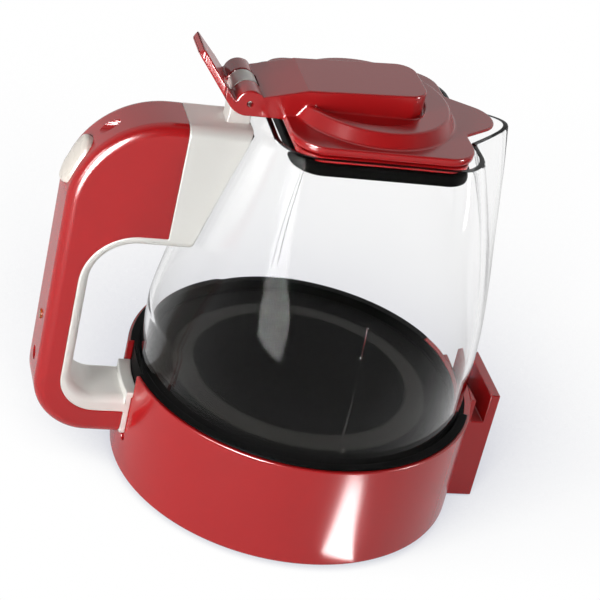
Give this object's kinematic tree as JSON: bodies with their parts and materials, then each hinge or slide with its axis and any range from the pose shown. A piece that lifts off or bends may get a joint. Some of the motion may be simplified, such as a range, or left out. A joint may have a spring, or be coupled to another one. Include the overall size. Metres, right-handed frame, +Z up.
{
  "type": "electric kettle",
  "caption": "Small electric kettle for a car: glass jug with a beak on a heated round base, C-shaped handle with a push button, hinged lid with a thumb lever and a hook bracket.",
  "frame": {"origin": "on the jug's axis, at the table plane under the foot ring", "axes": "+Z up, +X towards the spout and the hook bracket, -X towards the handle"},
  "size_m": [0.2033, 0.1516, 0.1985],
  "materials": {
    "red_gloss_abs": "moulded gloss",
    "pale_grey_abs": "moulded satin",
    "button_abs": "moulded gloss",
    "black_silicone": "satin",
    "black_plastic": "fine texture",
    "black_coated_steel": "gloss coating",
    "clear_glass": "clear",
    "stainless_steel": "brushed",
    "aluminium_plate": "as rolled",
    "white_ceramic": "unglazed",
    "wire_insulation": "satin",
    "amber_lens": "clear tinted",
    "circuit_board": "coated"
  },
  "bodies": {
    "kettle": {"base_ring": "red_gloss_abs", "hook_bracket": "red_gloss_abs", "bracket_screws": "stainless_steel", "bottom_cover": "black_plastic", "foot_ring": "black_silicone", "cover_screws": "stainless_steel", "heater_plate": "black_coated_steel", "jug_seal": "black_silicone", "heat_spreader": "aluminium_plate", "heating_element": "stainless_steel", "thermostat": "black_plastic", "thermal_fuse": "white_ceramic", "terminal_block": "white_ceramic", "jumper_leads": "wire_insulation", "power_inlet": "black_plastic", "inlet_leads": "wire_insulation", "glass_jug": "clear_glass", "handle_shell": "red_gloss_abs", "handle_frame": "pale_grey_abs", "mount_pad": "black_silicone", "handle_screws": "stainless_steel", "handle_wires": "wire_insulation", "switch_body": "black_plastic", "button_spring": "stainless_steel", "indicator_lens": "amber_lens", "led_board": "circuit_board", "hinge_pin": "stainless_steel"},
    "lid": {"lid_cover": "red_gloss_abs", "lid_plug": "red_gloss_abs", "lid_seal": "black_silicone", "lid_screws": "stainless_steel"},
    "button": {"power_button": "button_abs", "switch_plunger": "white_ceramic"}
  },
  "joints": [
    {"name": "lid_hinge", "type": "hinge", "parent": "kettle", "child": "lid", "pos_m": [-0.0517, 0, 0.1808], "axis": [0, -1, 0], "range_deg": [0, 58]},
    {"name": "button_press", "type": "slide", "parent": "kettle", "child": "button", "axis": [0.9272, 0, -0.3746], "range_m": [0, 0.002], "stiffness_N_per_m": 600, "deforming": ["button_spring"]}
  ]
}
